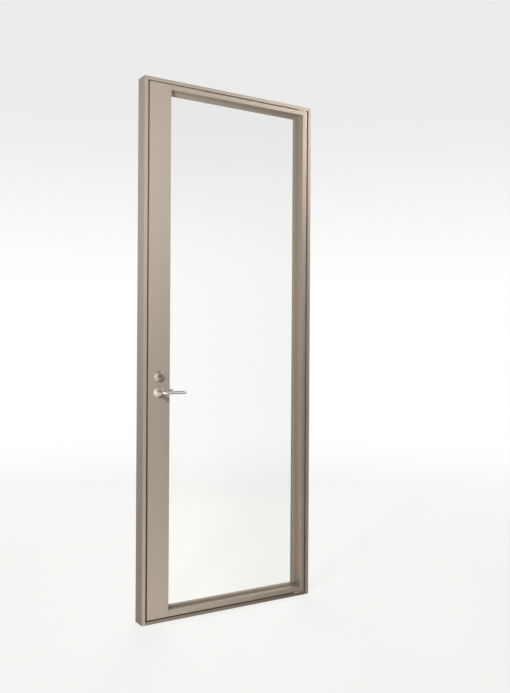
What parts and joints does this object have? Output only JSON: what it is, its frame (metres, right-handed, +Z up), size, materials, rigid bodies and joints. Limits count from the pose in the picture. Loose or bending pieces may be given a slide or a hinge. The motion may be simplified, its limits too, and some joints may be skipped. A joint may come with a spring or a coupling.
{
  "type": "glass door",
  "caption": "Slim aluminium door with one tall clear pane, closed in its frame, hung on hidden corner pivots, with lever handles, latch bolt, dead bolt and thumbturn.",
  "frame": {"origin": "on the floor, under the middle of the frame's width and of the leaf's thickness", "axes": "+X from the lock side to the hinge side, +Y from the front to the back, +Z up"},
  "size_m": [0.89, 0.179, 2.39],
  "materials": {
    "aluminium": "champagne anodised, satin",
    "bronze_aluminium": "light bronze anodised",
    "mill_aluminium": "mill finish",
    "glass": "clear toughened",
    "rubber": "matte dark grey extruded",
    "grey_rubber": "matte pale grey extruded",
    "satin_steel": "satin stainless",
    "zinc_steel": "zinc plated",
    "polyamide": "moulded black"
  },
  "bodies": {
    "frame": {"lock_jamb": "aluminium", "hinge_jamb": "aluminium", "frame_head": "aluminium", "threshold": "bronze_aluminium", "frame_corner_cleats": "mill_aluminium", "lock_seal": "rubber", "hinge_seal": "rubber", "head_seal": "rubber", "threshold_seal": "rubber", "strike_plate": "satin_steel", "strike_screws": "satin_steel", "bottom_pivot": "zinc_steel", "top_pivot": "zinc_steel", "pivot_screws": "satin_steel"},
    "leaf": {"bottom_pivot_socket": "polyamide", "top_pivot_socket": "polyamide", "lock_stile": "aluminium", "hinge_stile": "aluminium", "top_rail": "aluminium", "bottom_rail": "aluminium", "leaf_corner_cleats": "mill_aluminium", "glass_pane": "glass", "front_gasket": "grey_rubber", "rear_gasket": "grey_rubber", "setting_blocks": "polyamide", "lock_side_bead": "aluminium", "hinge_side_bead": "aluminium", "top_bead": "aluminium", "bottom_bead": "aluminium", "lock_forend": "satin_steel", "forend_screws": "satin_steel", "forend_blocks": "mill_aluminium", "lock_case": "zinc_steel", "lock_case_cover": "zinc_steel", "cylinder_ring": "satin_steel", "cylinder_body": "satin_steel", "thumbturn_rose": "satin_steel", "front_rose": "satin_steel", "back_rose": "satin_steel", "rose_bolts": "satin_steel"},
    "lever_set": {"front_lever": "satin_steel", "back_lever": "satin_steel", "spindle": "zinc_steel", "grub_screws": "satin_steel", "follower": "zinc_steel"},
    "latch": {"latch_bolt": "zinc_steel"},
    "bolt": {"dead_bolt": "zinc_steel"},
    "lock_turn": {"cylinder_plug": "satin_steel", "cylinder_cam": "zinc_steel", "thumbturn": "satin_steel"}
  },
  "joints": [
    {"name": "leaf_swing", "type": "hinge", "parent": "frame", "child": "leaf", "pos_m": [0.4155, -0.02, 0], "axis": [0, 0, 1], "range_deg": [0, 100]},
    {"name": "lever_turn", "type": "hinge", "parent": "leaf", "child": "lever_set", "pos_m": [-0.371, 0, 1.013], "axis": [0, 1, 0], "range_deg": [0, 40], "stiffness_Nm_per_rad": 1.2, "springref_deg": -28.65},
    {"name": "latch_slide", "type": "slide", "parent": "leaf", "child": "latch", "axis": [1, 0, 0], "range_m": [0, 0.013]},
    {"name": "thumb_turn", "type": "hinge", "parent": "leaf", "child": "lock_turn", "pos_m": [-0.371, 0, 1.083], "axis": [0, -1, 0], "range_deg": [0, 90]},
    {"name": "bolt_slide", "type": "slide", "parent": "leaf", "child": "bolt", "axis": [-1, 0, 0], "range_m": [0, 0.02]}
  ],
  "couplings": [
    {"joint": "latch_slide", "follows": "lever_turn", "m_per_rad": 0.01862},
    {"joint": "bolt_slide", "follows": "thumb_turn", "m_per_rad": 0.01273}
  ]
}
